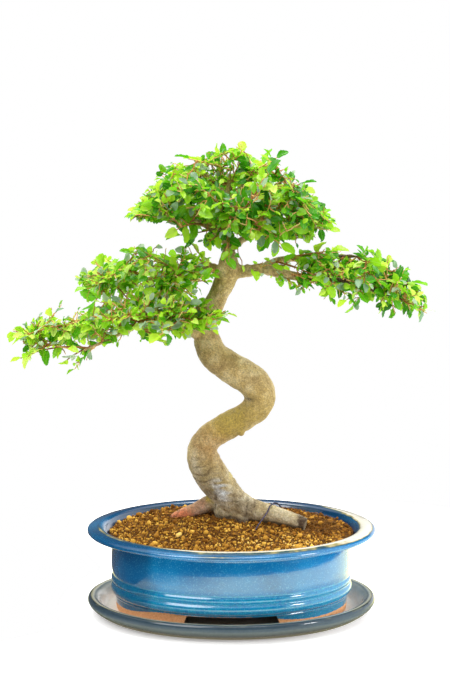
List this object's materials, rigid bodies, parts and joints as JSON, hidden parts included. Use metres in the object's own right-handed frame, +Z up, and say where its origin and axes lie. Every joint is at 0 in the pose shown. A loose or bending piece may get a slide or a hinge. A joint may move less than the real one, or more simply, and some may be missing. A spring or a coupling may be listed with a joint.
{
  "type": "chinese elm bonsai in its pot",
  "caption": "Chinese elm bonsai: a twice-bent trunk with tiers of small toothed leaves, in a glazed oval pot of soil on an oval drip tray.",
  "frame": {"origin": "middle of the drip tray's flat underside, which is also where the part stands", "axes": "+Z up, +X along the pot's length to the viewer's right, +Y away from the viewer, along the pot's depth"},
  "size_m": [0.3591, 0.1902, 0.4102],
  "materials": {
    "tray_glaze": "glossy grey-blue glaze",
    "pot_glaze": "glossy deep blue glaze",
    "net": "matte",
    "soil": "rough fired-clay crumbs and humus",
    "bark": "rough tan and grey bark",
    "wire": "dull dark anodised",
    "leaf": "satin leaf"
  },
  "bodies": {
    "root": {"drip_tray": "tray_glaze", "pot": "pot_glaze", "drain_mesh_left": "net", "drain_mesh_right": "net", "soil": "soil", "trunk": "bark", "anchor_wire": "wire", "crown_shoot_01": "leaf", "crown_shoot_02": "leaf", "crown_shoot_03": "leaf", "crown_shoot_04": "leaf", "crown_shoot_05": "leaf", "crown_shoot_06": "leaf", "crown_shoot_07": "leaf", "crown_shoot_08": "leaf", "crown_shoot_09": "leaf", "crown_shoot_10": "leaf", "crown_shoot_11": "leaf", "crown_shoot_12": "leaf", "crown_shoot_13": "leaf", "crown_shoot_14": "leaf", "crown_shoot_15": "leaf", "crown_shoot_16": "leaf", "crown_shoot_17": "leaf", "crown_shoot_18": "leaf", "crown_shoot_19": "leaf", "crown_shoot_20": "leaf", "left_middle_shoot_01": "leaf", "left_middle_shoot_02": "leaf", "left_middle_shoot_03": "leaf", "left_middle_shoot_04": "leaf", "left_middle_shoot_05": "leaf", "left_middle_shoot_06": "leaf", "left_middle_shoot_07": "leaf", "left_outer_shoot_01": "leaf", "left_outer_shoot_02": "leaf", "left_outer_shoot_03": "leaf", "left_outer_shoot_04": "leaf", "left_outer_shoot_05": "leaf", "left_outer_shoot_06": "leaf", "left_upper_shoot_01": "leaf", "left_upper_shoot_02": "leaf", "left_upper_shoot_03": "leaf", "left_upper_shoot_04": "leaf", "left_upper_shoot_05": "leaf", "left_upper_shoot_06": "leaf", "left_upper_shoot_07": "leaf", "left_upper_shoot_08": "leaf", "right_shoot_01": "leaf", "right_shoot_02": "leaf", "right_shoot_03": "leaf", "right_shoot_04": "leaf", "right_shoot_05": "leaf", "right_shoot_06": "leaf", "right_shoot_07": "leaf", "right_shoot_08": "leaf", "right_shoot_09": "leaf", "right_shoot_10": "leaf"}
  },
  "joints": []
}
